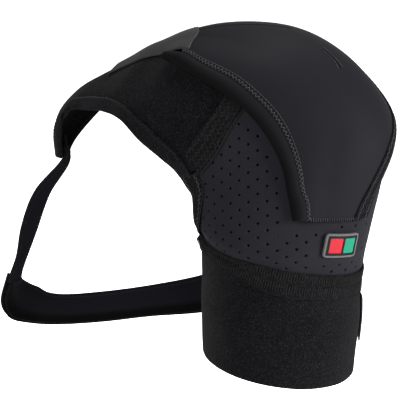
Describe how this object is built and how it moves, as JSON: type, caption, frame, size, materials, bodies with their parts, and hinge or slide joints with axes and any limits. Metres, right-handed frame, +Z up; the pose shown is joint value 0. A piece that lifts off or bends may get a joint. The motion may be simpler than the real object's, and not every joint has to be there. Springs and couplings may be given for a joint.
{
  "type": "shoulder brace",
  "caption": "Cloth brace for a left shoulder: arm cuff, pierced sleeve, domed cover, chest panel and a strap loop that passes under the far arm.",
  "frame": {"origin": "the inside of the crown, where the top of the shoulder carries the brace", "axes": "+X to the wearer's left, -Y to the wearer's front, +Z up"},
  "size_m": [0.3535, 0.2079, 0.331],
  "materials": {
    "loop_pile": "napped loop pile",
    "pierced_cloth": "pierced foam-backed cloth",
    "smooth_cloth": "smooth foam-backed knit",
    "strap_cloth": "smooth elastic strap",
    "binding": "stitched binding tape",
    "hook_tape": "satin film over hooks",
    "badge_rubber": "moulded matt rubber",
    "badge_red": "moulded matt rubber",
    "badge_green": "moulded matt rubber"
  },
  "bodies": {
    "root": {"arm_cuff": "loop_pile", "cuff_seam_band": "binding", "cuff_closure": "hook_tape", "perforated_panel": "pierced_cloth", "back_panel": "smooth_cloth", "chest_panel": "loop_pile", "chest_panel_hem": "binding", "front_edge_binding": "binding", "panel_seam_tape": "loop_pile", "shoulder_cover": "smooth_cloth", "cover_front_hem": "smooth_cloth", "cover_back_binding": "binding", "hook_tab": "hook_tape", "badge_plate": "badge_rubber", "badge_red_block": "badge_red", "badge_green_block": "badge_green", "chest_strap": "strap_cloth", "underarm_strap": "strap_cloth", "strap_hook_tab": "hook_tape", "back_strap_tab": "hook_tape"}
  },
  "joints": []
}
